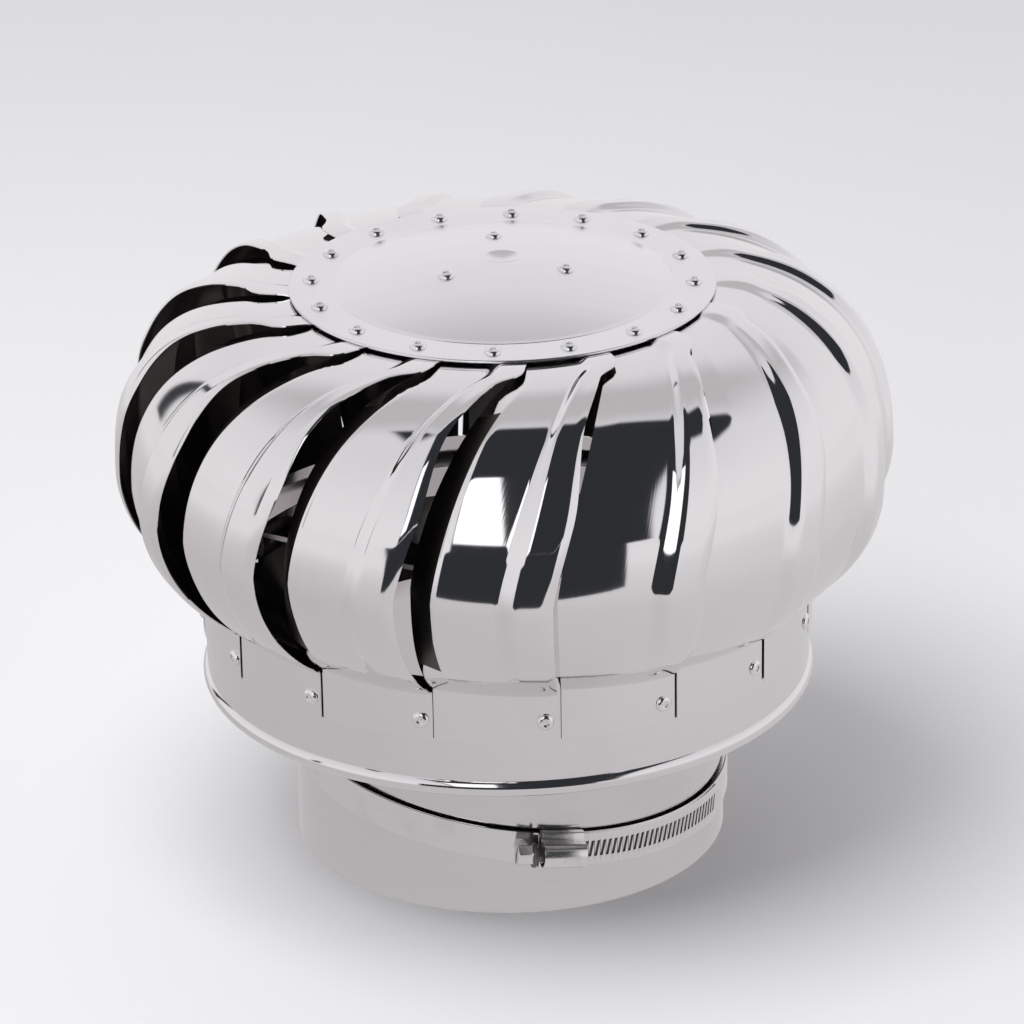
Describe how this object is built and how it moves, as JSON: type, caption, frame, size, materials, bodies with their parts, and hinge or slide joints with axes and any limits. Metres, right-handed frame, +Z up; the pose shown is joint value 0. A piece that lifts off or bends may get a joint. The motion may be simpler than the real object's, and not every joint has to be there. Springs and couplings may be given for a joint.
{
  "type": "wind-driven turbine roof ventilator",
  "caption": "Polished steel turbine ventilator: swept lapped vanes between a domed cap and a beaded ring spin freely on a spindle over a round duct neck that carries a loose worm-drive clamp.",
  "frame": {"origin": "centre of the neck's lower edge, on the surface it stands on", "axes": "+Z up along the spindle, -Y to the front where the clamp's screw is, +X to the right in the picture"},
  "size_m": [0.2852, 0.2852, 0.2254],
  "materials": {
    "polished_steel": "mirror-polished stainless sheet with faint rolling lines",
    "neck_steel": "bright rolled stainless sheet, slightly warmer and softer than the rotor",
    "rivet_steel": "bright set blind rivets",
    "turned_steel": "turned and zinc-plated steel",
    "bronze": "oil-filled sintered bronze",
    "clamp_steel": "bright rolled clamp strip with punched slots",
    "screw_steel": "zinc-plated worm screw"
  },
  "bodies": {
    "base": {"neck_collar": "neck_steel", "support_spider": "neck_steel", "spindle": "turned_steel", "spindle_nuts": "turned_steel", "thrust_washer": "turned_steel", "tip_washer": "turned_steel", "lock_nut": "turned_steel", "clamp_band": "clamp_steel", "clamp_housing": "clamp_steel"},
    "rotor": {"top_cap": "polished_steel", "vane_01": "polished_steel", "vane_02": "polished_steel", "vane_03": "polished_steel", "vane_04": "polished_steel", "vane_05": "polished_steel", "vane_06": "polished_steel", "vane_07": "polished_steel", "vane_08": "polished_steel", "vane_09": "polished_steel", "vane_10": "polished_steel", "vane_11": "polished_steel", "vane_12": "polished_steel", "vane_13": "polished_steel", "vane_14": "polished_steel", "vane_15": "polished_steel", "vane_16": "polished_steel", "lower_ring": "polished_steel", "cap_rivets": "rivet_steel", "ring_rivets": "rivet_steel", "hub_rivets": "rivet_steel", "bearing_hub": "turned_steel", "upper_bush": "bronze", "lower_bush": "bronze"},
    "screw": {"clamp_screw": "screw_steel"}
  },
  "joints": [
    {"name": "turbine_spin", "type": "hinge", "parent": "base", "child": "rotor", "pos_m": [0, 0, 0.15], "axis": [0, 0, 1], "continuous": true},
    {"name": "clamp_screw_turn", "type": "hinge", "parent": "base", "child": "screw", "pos_m": [0.0187, -0.08485, 0.02598], "axis": [0.9695, 0.2149, -0.1179], "continuous": true}
  ]
}
